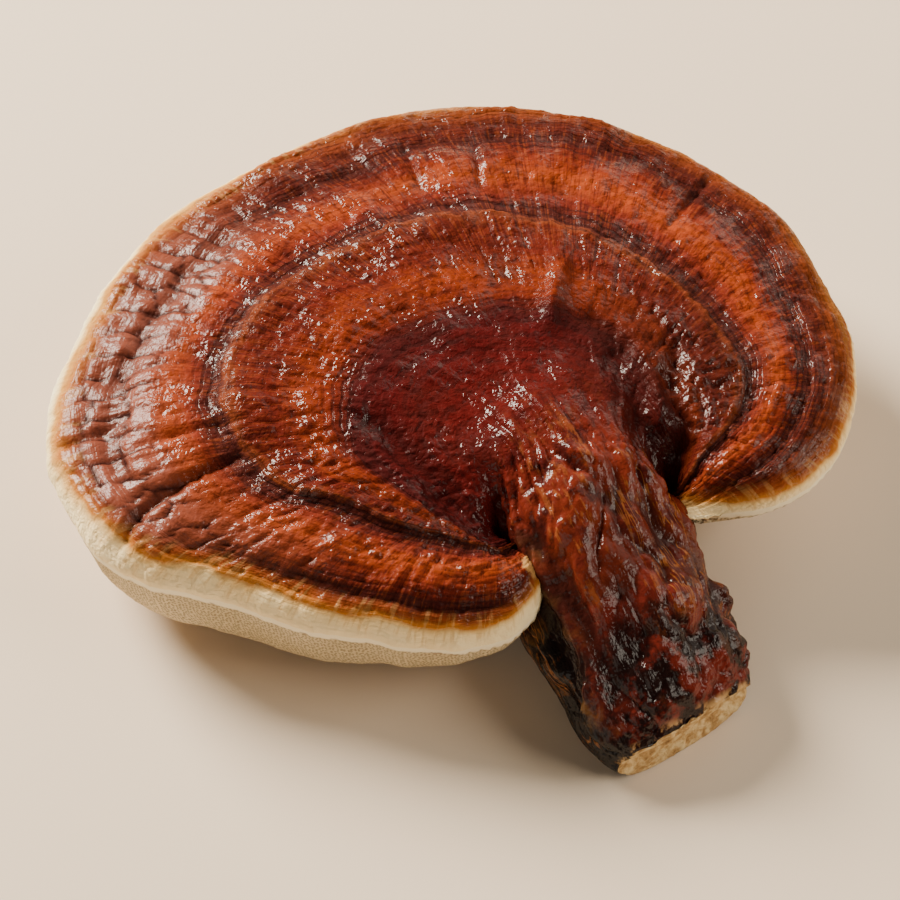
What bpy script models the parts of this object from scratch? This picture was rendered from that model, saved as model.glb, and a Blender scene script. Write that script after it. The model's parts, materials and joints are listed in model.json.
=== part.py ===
"""Reishi mushroom: the cap, the pore layer and the cut stem, grown as one woody body.

The body is one closed skin. Rings run up the stem from its cut end, open out into a fan
over the cap and under it, and close at the margin, where the two sides meet.
"""

import math

import bpy
import numpy as np

MM = 0.001
NODE = "reishi_mushroom"
COLLECTION = "reishi"
SHARP_ANGLE = math.radians(50)

# The margin from the left sinus round the back to the right sinus: x, y and height, in mm.
MARGIN = (
    (6.2, -34.5, 20.5),
    (4.8, -38.3, 21.0),
    (1.8, -43.0, 20.8),
    (-4.0, -46.9, 20.4),
    (-13.5, -47.2, 20.0),
    (-27.5, -40.5, 20.0),
    (-40.9, -31.8, 20.0),
    (-52.5, -21.6, 20.3),
    (-65.4, -12.7, 20.8),
    (-72.8, -2.1, 21.1),
    (-75.5, 12.4, 21.5),
    (-74.7, 24.9, 21.8),
    (-66.0, 43.5, 22.7),
    (-52.2, 62.0, 23.9),
    (-30.4, 77.3, 25.2),
    (-9.4, 83.8, 25.8),
    (14.1, 87.6, 26.5),
    (33.0, 84.3, 27.0),
    (53.4, 74.5, 26.6),
    (69.5, 59.5, 26.3),
    (79.5, 42.8, 26.0),
    (85.4, 26.3, 25.4),
    (85.2, 7.1, 24.8),
    (83.0, -8.1, 24.4),
    (77.5, -20.8, 24.0),
    (68.7, -30.7, 23.6),
    (60.1, -36.2, 23.3),
    (51.6, -38.1, 23.1),
    (43.5, -36.5, 22.6),
    (37.0, -34.3, 22.2),
    (33.5, -31.5, 21.5),
)

# The stem from the cut end up to the cap: y on the left and on the right, left x, right x, the
# heights of its widest line, of its back and of its underside, and how far the ring's middle
# stands back from its ends, in mm.
STEM = (
    (-70.0, -62.5, 7.0, 36.5, 4.2, 9.5, 0.0, -2.5),
    (-67.5, -60.0, 4.0, 37.5, 6.4, 14.5, -0.4, -0.5),
    (-61.5, -54.5, 1.4, 38.2, 9.0, 21.0, -0.6, 1.5),
    (-54.0, -47.5, 1.0, 37.5, 11.5, 26.0, -0.6, 3.0),
    (-45.0, -40.0, -0.8, 37.0, 13.5, 30.5, -0.5, 4.5),
    (-36.0, -33.0, -0.8, 36.5, 15.5, 34.5, 1.0, 5.5),
    (-27.0, -26.5, 0.8, 36.0, 17.5, 37.5, 2.5, 6.0),
)
STEM_RINGS = 14
UNDER_SQUARENESS = 0.7

# The skin's rows over the cap: growth from the stem (0) to the margin (1), and columns.
CAP_ROWS = (
    (0.06, 28),
    (0.13, 28),
    (0.21, 56),
    (0.30, 56),
    (0.40, 56),
    (0.50, 112),
    (0.57, 112),
    (0.62, 112),
    (0.67, 112),
    (0.74, 112),
    (0.80, 112),
    (0.84, 112),
    (0.88, 112),
    (0.92, 112),
    (0.95, 112),
    (0.975, 112),
    (0.992, 112),
    (1.0, 112),
)
JUNCTION_COLUMNS = 28
# The rows that the underside keeps: it is plainer than the top.
UNDER_ROWS = (0.13, 0.21, 0.30, 0.40, 0.50, 0.62, 0.74, 0.84, 0.92, 0.95, 0.975, 0.992, 1.0)

# Along the margin: how far in the underside takes to turn flat and how square it turns, how far
# in the crust's edge takes to turn over and how high it rises there, in mm.
TURN_AT = (0.0, 0.05, 0.09, 0.13, 0.17, 0.21, 0.26, 0.34, 0.45, 0.6, 0.8, 0.92, 1.0)
UNDER_TURN = (16.0, 22.0, 15.0, 10.5, 9.5, 12.0, 17.0, 24.0, 30.0, 34.0, 32.0, 34.0, 24.0)
UNDER_SQUARE = (1.8, 2.0, 2.3, 2.6, 2.8, 2.6, 2.2, 2.0, 2.0, 2.0, 1.9, 1.7, 1.7)
EDGE_TURN = (8.0, 8.0, 8.0, 8.0, 8.0, 8.0, 7.0, 6.0, 5.0, 5.0, 6.0, 7.5, 6.0)
EDGE_RISE = (5.5, 6.0, 6.0, 6.0, 6.0, 5.5, 4.6, 3.2, 2.6, 2.6, 4.0, 5.5, 5.0)
CROWN_HEIGHT = 36.5
CROWN_REACH = 70.0
MARGIN_SAMPLES = 800
NOTCH_OPENING = 0.022

# Growth zones on the crust, as margin place and growth: the outer furrow and the step inside it.
FURROW_AT = (0.0, 0.21, 0.34, 0.44, 0.58, 0.69, 0.81, 0.95, 1.0)
FURROW_GROWTH = (0.95, 0.945, 0.905, 0.885, 0.892, 0.913, 0.88, 0.852, 0.85)
FURROW_DEPTH = 1.1
FURROW_REACH = 0.018
STEP_AT = (0.0, 0.05, 0.14, 0.25, 0.33, 0.42, 0.51, 0.62, 0.79, 0.91, 0.95, 1.0)
STEP_GROWTH = (0.60, 0.616, 0.724, 0.76, 0.773, 0.739, 0.714, 0.675, 0.665, 0.645, 0.56, 0.5)
STEP_HEIGHT = 1.3
STEP_REACH = 0.022

# The creases that run in from the two sinuses: growth, depth in mm, reach and how far along.
LEFT_CREASE = (0.55, 4.0, 0.06, 0.17)
RIGHT_CREASE = (0.38, 3.5, 0.09, 0.20)

# The underside sinks to a resting patch, which is flat: its middle, reach and depth, in mm.
REST_MIDDLE = (4.0, 24.0)
REST_REACH = 62.0
REST_RISE = 1.8
REST_SINK = 0.5


def smooth(knots, values, at):
    """Read the smooth curve through the values that stand at the knots."""
    knots = np.asarray(knots, float)
    values = np.asarray(values, float)
    at = np.asarray(at, float)
    slopes = np.gradient(values, knots, axis=0)
    cell = np.clip(np.searchsorted(knots, at, side="right") - 1, 0, len(knots) - 2)
    width = knots[cell + 1] - knots[cell]
    u = (at - knots[cell]) / width
    if values.ndim > 1:
        u = u[..., None]
        width = width[..., None]
    first = (1 + 2 * u) * (1 - u) ** 2 * values[cell] + u * (1 - u) ** 2 * width * slopes[cell]
    last = u**2 * (3 - 2 * u) * values[cell + 1] + u**2 * (u - 1) * width * slopes[cell + 1]
    return first + last


def ease(x):
    """Rise smoothly from 0 to 1."""
    x = np.clip(x, 0.0, 1.0)
    return x * x * (3 - 2 * x)


def rounded(x, squareness=2.0):
    """Rise from 0 to 1 as a quarter of a superellipse does."""
    return (1.0 - (1.0 - np.clip(x, 0.0, 1.0)) ** squareness) ** (1.0 / squareness)


def margin(s):
    """Points of the margin: s runs from 0 at the left sinus to 1 at the right one."""
    points = np.array(MARGIN)
    steps = np.linalg.norm(np.diff(points[:, :2], axis=0), axis=1)
    knots = np.concatenate([[0.0], np.cumsum(steps)]) / steps.sum()
    return smooth(knots, points, s)


def share_of_stem(s):
    """Where round the stem's half ring the growth line to margin place s begins."""
    junction = STEM[-1]
    middle = np.array([0.5 * (junction[2] + junction[3]), junction[0] + 4.0])
    dense = np.linspace(0.0, 1.0, 400)
    reach = margin(dense)[:, :2] - middle
    angle = np.unwrap(np.arctan2(reach[:, 1], reach[:, 0]))
    share = (angle - angle[0]) / (angle[-1] - angle[0])
    return np.interp(s, dense, np.maximum.accumulate(share))


def stem_half(row, share, top):
    """Half a ring of the stem, from its left flank to its right one, over or under."""
    left_y, right_y, left, right, flank, back, under, lead = row
    turn = math.pi * (1.0 - np.asarray(share, float))
    square = 1.0 if top else UNDER_SQUARENESS
    across = np.sign(np.cos(turn)) * np.abs(np.cos(turn)) ** square
    lift = np.abs(np.sin(turn)) ** square
    x = 0.5 * (left + right) + 0.5 * (right - left) * across
    y = left_y + (right_y - left_y) * (x - left) / (right - left)
    y = y + lead * lift
    z = flank + ((back if top else under) - flank) * lift
    return np.stack([x, y, np.maximum(z, 0.0)], axis=-1)


def growth_line(start, end, t):
    """Run from the stem out to the margin, setting off along the stem."""
    span = np.linalg.norm(end[..., :2] - start[..., :2], axis=-1, keepdims=True)
    guide = start[..., :2] + 0.3 * span * np.array([0.0, 1.0])
    t = np.asarray(t, float)[..., None]
    return (1 - t) ** 2 * start[..., :2] + 2 * t * (1 - t) * guide + t**2 * end[..., :2]


def inward_distance(plan):
    """How far in from the margin places are, seen from above, in mm."""
    edge = margin(np.linspace(0.0, 1.0, MARGIN_SAMPLES))[:, :2]
    flat = plan[..., :2].reshape(-1, 2)
    found = np.empty(len(flat))
    for first in range(0, len(flat), MARGIN_SAMPLES):
        block = flat[first : first + MARGIN_SAMPLES]
        gaps = block[:, None, :] - edge[None, :, :]
        found[first : first + MARGIN_SAMPLES] = np.sqrt((gaps**2).sum(axis=-1).min(axis=1))
    return found.reshape(plan.shape[:-1])


def opening(s):
    """How far the skin's two sides have parted: nothing at the sinuses, then fully."""
    return rounded(np.minimum(s, 1.0 - s) / NOTCH_OPENING)


def crust_relief(s, t):
    """Height of the zones and creases of the crust over its plain form, in mm."""
    furrow = smooth(FURROW_AT, FURROW_GROWTH, s)
    step = smooth(STEP_AT, STEP_GROWTH, s)
    relief = -FURROW_DEPTH * np.exp(-(((t - furrow) / FURROW_REACH) ** 2))
    relief = relief + STEP_HEIGHT * ease(0.5 + 0.5 * (step - t) / STEP_REACH)
    for place, crease in ((s, LEFT_CREASE), (1.0 - s, RIGHT_CREASE)):
        growth, depth, reach, along = crease
        fade = ease(1.0 - place / along)
        relief = relief - depth * fade * np.exp(-(((t - growth) / reach) ** 2))
    return relief


def cap_point(s, t, top):
    """Points of the cap's upper or lower skin at margin place s and growth t."""
    s, t = np.broadcast_arrays(np.asarray(s, float), np.asarray(t, float))
    end = margin(s)
    start = stem_half(STEM[-1], share_of_stem(s), top)
    plan = growth_line(start, end, t)
    inward = inward_distance(plan)
    span = np.linalg.norm(end[..., :2] - start[..., :2], axis=-1)
    if top:
        rise = smooth(TURN_AT, EDGE_RISE, s)
        shoulder = end[..., 2] + rise * rounded(inward / smooth(TURN_AT, EDGE_TURN, s))
        crown = np.maximum(CROWN_HEIGHT - end[..., 2] - rise, 0.0)
        cap = shoulder + crown * (1.0 - (1.0 - np.clip(inward / CROWN_REACH, 0.0, 1.0)) ** 2)
        cap = cap + crust_relief(s, t) * ease(t / 0.3) * ease(inward / 6.0)
        settle = ease(t * span / 16.0)
    else:
        from_rest = np.hypot(plan[..., 0] - REST_MIDDLE[0], plan[..., 1] - REST_MIDDLE[1])
        bed = REST_RISE * (from_rest / REST_REACH) ** 2 - REST_SINK
        turned = rounded(inward / smooth(TURN_AT, UNDER_TURN, s), smooth(TURN_AT, UNDER_SQUARE, s))
        cap = end[..., 2] + (bed - end[..., 2]) * turned
        settle = ease(t * span / 20.0)
    height = start[..., 2] + (cap - start[..., 2]) * settle
    side = start[..., 2] + (end[..., 2] - start[..., 2]) * t
    height = side + (height - side) * opening(s) ** np.where(t < 1.0, 1.0, 0.0)
    height = np.where(t < 1.0, height, end[..., 2])
    return np.concatenate([plan, np.maximum(height, 0.0)[..., None]], axis=-1)


class Skin:
    """The points and faces of the closed skin as they are laid row by row."""

    def __init__(self):
        self.points = []
        self.faces = []

    def add(self, points):
        """Add points and give their numbers."""
        first = len(self.points)
        self.points.extend(tuple(point) for point in points)
        return list(range(first, len(self.points)))

    def face(self, corners, top):
        """Add one face, facing out of the upper or the lower side."""
        self.faces.append(tuple(corners) if top else tuple(reversed(corners)))

    def strip(self, inner, outer, top, left=(), right=()):
        """Join two rows of equal or doubled columns; left and right are points between their ends."""
        doubled = len(outer) > len(inner)
        last = len(inner) - 2
        for j in range(last + 1):
            low = [inner[j], inner[j + 1]]
            if j == last:
                low += list(right)
            if doubled:
                high = [outer[2 * j + 2], outer[2 * j + 1], outer[2 * j]]
            else:
                high = [outer[j + 1], outer[j]]
            if j == 0:
                high += list(reversed(left))
            self.face(low + high, top)


def stem_rows():
    """The stem's rings between those of the table, read smoothly."""
    at = np.linspace(0.0, 1.0, STEM_RINGS) ** 0.9
    return smooth(np.linspace(0.0, 1.0, len(STEM)), np.array(STEM), at)


def build_skin():
    """Lay the whole skin: the cut end, the stem, the cap's two sides."""
    skin = Skin()
    share = share_of_stem(np.linspace(0.0, 1.0, JUNCTION_COLUMNS + 1))
    even = np.linspace(0.0, 1.0, JUNCTION_COLUMNS + 1)
    upper = None
    lower = None
    for index, row in enumerate(stem_rows()):
        blend = index / (STEM_RINGS - 1)
        columns = even + (share - even) * blend
        over = skin.add(stem_half(row, columns, True))
        under = [over[0]] + skin.add(stem_half(row, columns, False)[1:-1]) + [over[-1]]
        if upper is None:
            middle = skin.add([np.mean([skin.points[k] for k in over + under], axis=0)])[0]
            for j in range(JUNCTION_COLUMNS):
                skin.face((middle, over[j + 1], over[j]), True)
                skin.face((middle, under[j + 1], under[j]), False)
        else:
            skin.strip(upper, over, True)
            skin.strip(lower, under, False)
        upper = over
        lower = under
    left = []
    right = []
    for growth, columns in CAP_ROWS:
        s = np.linspace(0.0, 1.0, columns + 1)
        over = skin.add(cap_point(s, growth, True))
        skin.strip(upper, over, True)
        upper = over
        if growth in UNDER_ROWS:
            inside = cap_point(s, growth, False)[1:-1]
            under = over if growth == 1.0 else [over[0]] + skin.add(inside) + [over[-1]]
            skin.strip(lower, under, False, left, right)
            lower = under
            left = []
            right = []
        else:
            left.append(over[0])
            right.append(over[-1])
    return skin


def stand(points):
    """Move the points so that the bottom middle of their box is the origin."""
    low = points.min(axis=0)
    high = points.max(axis=0)
    return points - np.array([0.5 * (low[0] + high[0]), 0.5 * (low[1] + high[1]), low[2]])


def crust_material():
    """The lacquered red-brown crust."""
    material = bpy.data.materials.new("lacquered_crust")
    material.use_nodes = True
    shader = material.node_tree.nodes["Principled BSDF"]
    shader.inputs["Base Color"].default_value = (0.19, 0.026, 0.009, 1.0)
    shader.inputs["Roughness"].default_value = 0.28
    return material


def clear_scene():
    """Remove what the scene starts with."""
    for thing in list(bpy.data.objects):
        bpy.data.objects.remove(thing, do_unlink=True)


def main():
    """Build the mushroom as one closed body."""
    clear_scene()
    skin = build_skin()
    points = stand(np.array(skin.points)) * MM
    mesh = bpy.data.meshes.new(NODE)
    mesh.from_pydata([tuple(point) for point in points], [], skin.faces)
    mesh.materials.append(crust_material())
    mesh.shade_smooth()
    mesh.set_sharp_from_angle(angle=SHARP_ANGLE)
    mesh.validate()
    body = bpy.data.objects.new(NODE, mesh)
    collection = bpy.data.collections.new(COLLECTION)
    bpy.context.scene.collection.children.link(collection)
    collection.objects.link(body)


if __name__ == "__main__":
    main()
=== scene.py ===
"""A dried reishi mushroom lying on its pore side: its lacquered, zoned crust, cream margin and cut stem.

Everything is in millimetres on the mushroom's own plan until the mesh is made in metres.
"""

import json
import logging
import math
from dataclasses import dataclass
from enum import Enum

import bpy
import numpy as np
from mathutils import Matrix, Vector

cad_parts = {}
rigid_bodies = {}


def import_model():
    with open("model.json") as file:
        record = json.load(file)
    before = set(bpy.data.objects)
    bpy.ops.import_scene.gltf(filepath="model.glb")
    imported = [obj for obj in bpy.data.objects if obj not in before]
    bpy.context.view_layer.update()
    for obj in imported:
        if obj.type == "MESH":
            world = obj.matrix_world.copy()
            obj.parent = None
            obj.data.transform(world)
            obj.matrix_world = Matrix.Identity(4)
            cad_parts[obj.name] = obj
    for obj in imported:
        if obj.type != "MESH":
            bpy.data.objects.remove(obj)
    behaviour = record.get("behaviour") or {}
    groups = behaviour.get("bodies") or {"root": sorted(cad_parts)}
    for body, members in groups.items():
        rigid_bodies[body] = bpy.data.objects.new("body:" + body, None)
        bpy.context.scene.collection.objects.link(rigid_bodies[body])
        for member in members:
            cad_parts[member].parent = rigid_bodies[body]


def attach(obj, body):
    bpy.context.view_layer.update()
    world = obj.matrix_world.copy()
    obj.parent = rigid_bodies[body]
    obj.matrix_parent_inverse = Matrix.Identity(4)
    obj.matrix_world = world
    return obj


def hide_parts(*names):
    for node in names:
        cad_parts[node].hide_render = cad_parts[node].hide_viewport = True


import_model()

LOG = logging.getLogger("reishi")
MM = 0.001
NODE = "reishi_mushroom"
# Where the frame's origin stands on the mushroom's own plan, in mm.
ORIGIN = (5.18, 8.2)
MARGIN_LENGTH = 428.0


class Side(Enum):
    """Which skin of the body a point lies on."""

    OVER = "over"
    UNDER = "under"


class Slot(Enum):
    """The materials of the body, in the order of its material slots."""

    CRUST = 0
    PORES = 1
    FLESH = 2


# The margin from the left sinus round the back to the right sinus: x, y and height, in mm.
MARGIN = (
    (6.2, -34.5, 20.5),
    (4.8, -38.3, 21.0),
    (1.8, -43.0, 20.8),
    (-4.0, -46.9, 20.4),
    (-13.5, -47.2, 20.0),
    (-27.5, -40.5, 20.0),
    (-40.9, -31.8, 20.0),
    (-52.5, -21.6, 20.3),
    (-65.4, -12.7, 20.8),
    (-72.8, -2.1, 21.1),
    (-75.5, 12.4, 21.5),
    (-74.7, 24.9, 21.8),
    (-66.0, 43.5, 22.7),
    (-52.2, 62.0, 23.9),
    (-30.4, 77.3, 25.2),
    (-9.4, 83.8, 25.8),
    (14.1, 87.6, 26.5),
    (33.0, 84.3, 27.0),
    (53.4, 74.5, 26.6),
    (69.5, 59.5, 26.3),
    (79.5, 42.8, 26.0),
    (85.4, 26.3, 25.4),
    (85.2, 7.1, 24.8),
    (83.0, -8.1, 24.4),
    (77.5, -20.8, 24.0),
    (68.7, -30.7, 23.6),
    (60.1, -36.2, 23.3),
    (51.6, -38.1, 23.1),
    (43.5, -36.5, 22.6),
    (37.0, -34.3, 22.2),
    (33.5, -31.5, 21.5),
)
MARGIN_SAMPLES = 800

# The stem from the cut end up to the cap: y on the left and on the right, left x, right x, the
# heights of its widest line, of its back and of its underside, and how far the ring's middle
# stands back from its ends, in mm.
STEM = (
    (-70.0, -62.5, 7.0, 36.5, 4.2, 9.5, 0.0, -2.5),
    (-67.5, -60.0, 4.0, 37.5, 6.4, 14.5, -0.4, -0.5),
    (-61.5, -54.5, 1.4, 38.2, 9.0, 21.0, -0.6, 1.5),
    (-54.0, -47.5, 1.0, 37.5, 11.5, 26.0, -0.6, 3.0),
    (-45.0, -40.0, -0.8, 37.0, 13.5, 30.5, -0.5, 4.5),
    (-36.0, -33.0, -0.8, 36.5, 15.5, 34.5, 1.0, 5.5),
    (-27.0, -26.5, 0.8, 36.0, 17.5, 37.5, 2.5, 6.0),
)
STEM_RINGS = 86
JUNCTION_COLUMNS = 150
UNDER_SQUARENESS = 0.7

# Along the margin: how far in the underside takes to turn flat and how square it turns, how far
# in the crust's edge takes to turn over and how high it rises there, in mm.
TURN_AT = (0.0, 0.05, 0.09, 0.13, 0.17, 0.21, 0.26, 0.34, 0.45, 0.6, 0.8, 0.92, 1.0)
UNDER_TURN = (16.0, 22.0, 15.0, 10.5, 9.5, 12.0, 17.0, 24.0, 30.0, 34.0, 32.0, 34.0, 24.0)
UNDER_SQUARE = (1.8, 2.0, 2.3, 2.6, 2.8, 2.6, 2.2, 2.0, 2.0, 2.0, 1.9, 1.7, 1.7)
EDGE_TURN = (8.0, 8.0, 8.0, 8.0, 8.0, 8.0, 7.0, 6.0, 5.0, 5.0, 6.0, 7.5, 6.0)
EDGE_RISE = (5.5, 6.0, 6.0, 6.0, 6.0, 5.5, 4.6, 3.2, 2.6, 2.6, 4.0, 5.5, 5.0)
CROWN_HEIGHT = 36.5
CROWN_REACH = 70.0
NOTCH_OPENING = 0.022

# The underside sinks to a resting patch, which is flat: its middle, reach and depth, in mm.
REST_MIDDLE = (4.0, 24.0)
REST_REACH = 62.0
REST_RISE = 1.8
REST_SINK = 0.5

# The three growth zones that stand out, as margin place and growth: the dark inner band, the
# step that the inner terrace ends in, and the furrow inside the outer band.
BAND_AT = (0.0, 0.17, 0.28, 0.36, 0.43, 0.53, 0.64, 0.73, 0.78, 1.0)
BAND_GROWTH = (0.56, 0.6, 0.552, 0.527, 0.483, 0.439, 0.404, 0.384, 0.33, 0.28)
STEP_AT = (0.0, 0.05, 0.14, 0.25, 0.33, 0.42, 0.51, 0.62, 0.79, 0.91, 0.95, 1.0)
STEP_GROWTH = (0.62, 0.64, 0.724, 0.76, 0.773, 0.739, 0.714, 0.675, 0.665, 0.645, 0.56, 0.5)
FURROW_AT = (0.0, 0.21, 0.34, 0.44, 0.58, 0.69, 0.81, 0.95, 1.0)
FURROW_GROWTH = (0.93, 0.935, 0.905, 0.885, 0.892, 0.913, 0.88, 0.852, 0.85)

# The crust's height across its zones, in mm: 1 is the dark band, 2 the step, 3 the furrow, 4 the
# margin.
PROFILE_ZONES = (
    0.0, 0.6, 0.92, 1.0, 1.06, 1.12, 1.3, 1.5, 1.8, 1.93, 1.98, 2.02, 2.1, 2.2, 2.35, 2.6, 2.8, 2.9,
    2.97, 3.03, 3.1, 3.2, 3.3, 3.36, 3.42, 3.55, 3.62, 3.7, 4.0,
)
PROFILE_HEIGHTS = (
    0.0, 0.0, 0.1, -0.1, -0.15, 0.0, 0.2, 0.1, 0.45, 0.8, 0.6, -0.1, -0.25, 0.0, 0.3, 0.6, 0.5,
    0.15, -0.35, -0.5, -0.2, 0.2, 0.3, -0.1, 0.3, 0.35, 0.0, 0.2, 0.0,
)

# Where the crust is torn at the tip of the left lobe, in the frame, in m.
LOBE_TIP = (-0.0022, -0.0448, 0.0255)
# The middle of the pleats inside the right sinus, round which the crust gets painted shade, in the frame, in m.
RIGHT_SINUS = (0.0355, -0.0145, 0.03)

# How wide the cream band of the margin is along it, in mm of the way in from its edge.
CREAM_AT = (0.0, 0.08, 0.15, 0.2, 0.26, 0.33, 0.42, 0.47, 0.52, 0.58, 0.7, 0.83, 0.88, 0.93, 0.97, 1.0)
CREAM_WIDTH = (0.9, 1.7, 2.1, 2.4, 2.8, 3.0, 2.8, 2.5, 1.7, 0.6, 0.45, 0.5, 0.8, 1.1, 1.0, 0.9)


@dataclass(frozen=True)
class Crease:
    """A crease of the crust along points of the plan.

    Args:
        points: x and y of the points that it runs through, in mm.
        depth: how deep it is, in mm. A negative depth is a ridge.
        reach: half its width, in mm.
    """

    points: tuple[tuple[float, float], ...]
    depth: float
    reach: float

    def height(self, plan: np.ndarray) -> np.ndarray:
        """Give the relief of the crease at places of the plan.

        Args:
            plan: x and y of the places, in mm.

        Returns:
            The height that it adds to each place, in mm.
        """
        nearest = np.full(len(plan), 1e9)
        along = np.zeros(len(plan))
        pieces = len(self.points) - 1
        for index in range(pieces):
            start = np.array(self.points[index])
            run = np.array(self.points[index + 1]) - start
            share = np.clip((plan - start) @ run / (run @ run), 0.0, 1.0)
            gap = np.linalg.norm(plan - start - share[:, None] * run, axis=1)
            closer = gap < nearest
            nearest = np.where(closer, gap, nearest)
            along = np.where(closer, (index + share) / pieces, along)
        fade = ease(4.0 * along) * ease(4.0 * (1.0 - along))
        return -self.depth * fade * np.exp(-((nearest / self.reach) ** 2))


CREASES = (
    Crease(((-20.0, 4.0), (-15.0, -3.0), (-12.0, -10.0), (-8.5, -19.0), (-4.0, -27.0), (0.0, -35.0), (4.0, -40.0)), 2.2, 2.6),
    Crease(((31.0, 20.0), (34.0, 8.0), (35.0, -2.0), (34.5, -12.0), (34.0, -20.0), (33.8, -28.0), (33.6, -36.0)), 1.3, 2.8),
    Crease(((46.0, 2.0), (43.0, -8.0), (40.5, -18.0), (38.0, -28.0)), 1.6, 2.2),
    Crease(((40.0, 8.0), (38.5, -2.0), (37.5, -12.0), (36.5, -24.0)), -1.6, 2.4),
    Crease(((34.5, 29.0), (31.5, 23.0), (29.1, 18.4), (26.5, 14.0), (23.5, 8.0)), -2.0, 1.8),
    Crease(((77.0, 44.7), (70.6, 39.8), (62.9, 32.9), (53.6, 24.4)), 1.1, 1.2),
    Crease(((-71.0, -9.5), (-65.5, -5.4), (-61.7, -2.5), (-52.9, -0.1), (-43.5, 1.4), (-37.0, 1.0)), 1.7, 1.2),
    Crease(((-62.0, 11.0), (-56.7, 10.8), (-47.1, 10.0), (-38.0, 7.5)), 0.9, 1.0),
    Crease(((-76.0, 20.0), (-66.0, 19.0), (-56.0, 20.0)), 0.8, 1.0),
    Crease(((16.0, 76.0), (15.2, 65.4), (13.7, 54.0)), 0.8, 0.9),
    Crease(((30.5, 70.0), (27.8, 59.1), (24.5, 48.0)), 0.8, 0.9),
)

# Where the fine growth lines stand out, by zone.
LINED_ZONES = (0.0, 0.3, 0.55, 0.95, 1.1, 1.3, 1.85, 1.98, 2.05, 2.2, 2.35, 2.75, 2.88, 3.15, 3.3, 3.7, 3.9, 4.0)
LINED_SHARES = (0.0, 0.15, 0.5, 0.8, 0.85, 0.4, 0.4, 1.0, 1.0, 1.0, 0.35, 0.4, 1.0, 1.0, 0.65, 0.6, 0.4, 0.1)
LINES_IN_ZONE = 12.0

# The plates that the outer crust on the left has cracked into: their length along the margin in
# mm, how many rows there would be from the stem out, and the cracks' width as a share of a plate.
PLATE_LENGTH = 6.2
PLATE_ROWS = 21.0
CRACK_WIDTH = 0.17

@dataclass(frozen=True)
class Dent:
    """A hollow or a lump on the stem.

    Args:
        down: place along the stem, from 0 at the cut end to 1 at the cap.
        round: place round its back, from 0 at the left flank to 1 at the right one.
        size: half its length along the stem and round it, as shares of the same.
        depth: how deep it is, in mm. A negative depth is a lump.
    """

    down: float
    round: float
    size: tuple[float, float]
    depth: float


DENTS = (
    Dent(0.34, 0.02, (0.08, 0.07), 4.5),
    Dent(0.55, 0.13, (0.3, 0.04), 2.2),
    Dent(0.20, 0.12, (0.12, 0.06), -1.8),
    Dent(0.45, 0.27, (0.28, 0.035), 2.2),
    Dent(0.62, 0.37, (0.16, 0.06), -1.8),
    Dent(0.36, 0.42, (0.10, 0.05), 1.6),
    Dent(0.40, 0.56, (0.09, 0.09), -2.0),
    Dent(0.62, 0.66, (0.14, 0.04), 2.0),
    Dent(0.22, 0.70, (0.07, 0.06), -1.4),
    Dent(0.20, 0.86, (0.06, 0.06), -1.8),
    Dent(0.42, 0.88, (0.06, 0.06), -2.0),
    Dent(0.56, 0.93, (0.05, 0.05), 1.8),
    Dent(0.30, 0.93, (0.05, 0.05), 1.6),
    Dent(0.10, 0.45, (0.05, 0.12), -1.0),
)


def smooth(knots, values, at) -> np.ndarray:
    """Read the smooth curve through the values that stand at the knots.

    Args:
        knots: rising places along the curve.
        values: a number or a point for each knot.
        at: where to read it.

    Returns:
        The curve's values there.
    """
    knots = np.asarray(knots, float)
    values = np.asarray(values, float)
    at = np.asarray(at, float)
    slopes = np.gradient(values, knots, axis=0)
    cell = np.clip(np.searchsorted(knots, at, side="right") - 1, 0, len(knots) - 2)
    width = knots[cell + 1] - knots[cell]
    u = (at - knots[cell]) / width
    if values.ndim > 1:
        u = u[..., None]
        width = width[..., None]
    first = (1 + 2 * u) * (1 - u) ** 2 * values[cell] + u * (1 - u) ** 2 * width * slopes[cell]
    last = u**2 * (3 - 2 * u) * values[cell + 1] + u**2 * (u - 1) * width * slopes[cell + 1]
    return first + last


def ease(x) -> np.ndarray:
    """Rise smoothly from 0 to 1 as x does."""
    x = np.clip(x, 0.0, 1.0)
    return x * x * (3 - 2 * x)


def rounded(x, squareness=2.0) -> np.ndarray:
    """Rise from 0 to 1 as a quarter of a superellipse does."""
    return (1.0 - (1.0 - np.clip(x, 0.0, 1.0)) ** squareness) ** (1.0 / squareness)


def noise(u: np.ndarray, v: np.ndarray, seed: int, wrap: int = 256) -> np.ndarray:
    """Give smooth gradient noise over two coordinates.

    Args:
        u: first coordinate, in cells. It repeats after wrap cells.
        v: second coordinate, in cells.
        seed: which noise.
        wrap: cells before u repeats.

    Returns:
        Noise from about -1 to 1.
    """
    turns = np.random.default_rng(seed).uniform(0.0, 2.0 * math.pi, (wrap, 256))
    i = np.floor(u).astype(int)
    j = np.floor(v).astype(int)
    total = np.zeros(np.shape(u))
    for right in (0, 1):
        for up in (0, 1):
            turn = turns[(i + right) % wrap, (j + up) % 256]
            x = u - i - right
            y = v - j - up
            weight = ease(1.0 - np.abs(x)) * ease(1.0 - np.abs(y))
            total += weight * (np.cos(turn) * x + np.sin(turn) * y)
    return 1.6 * total


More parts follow.
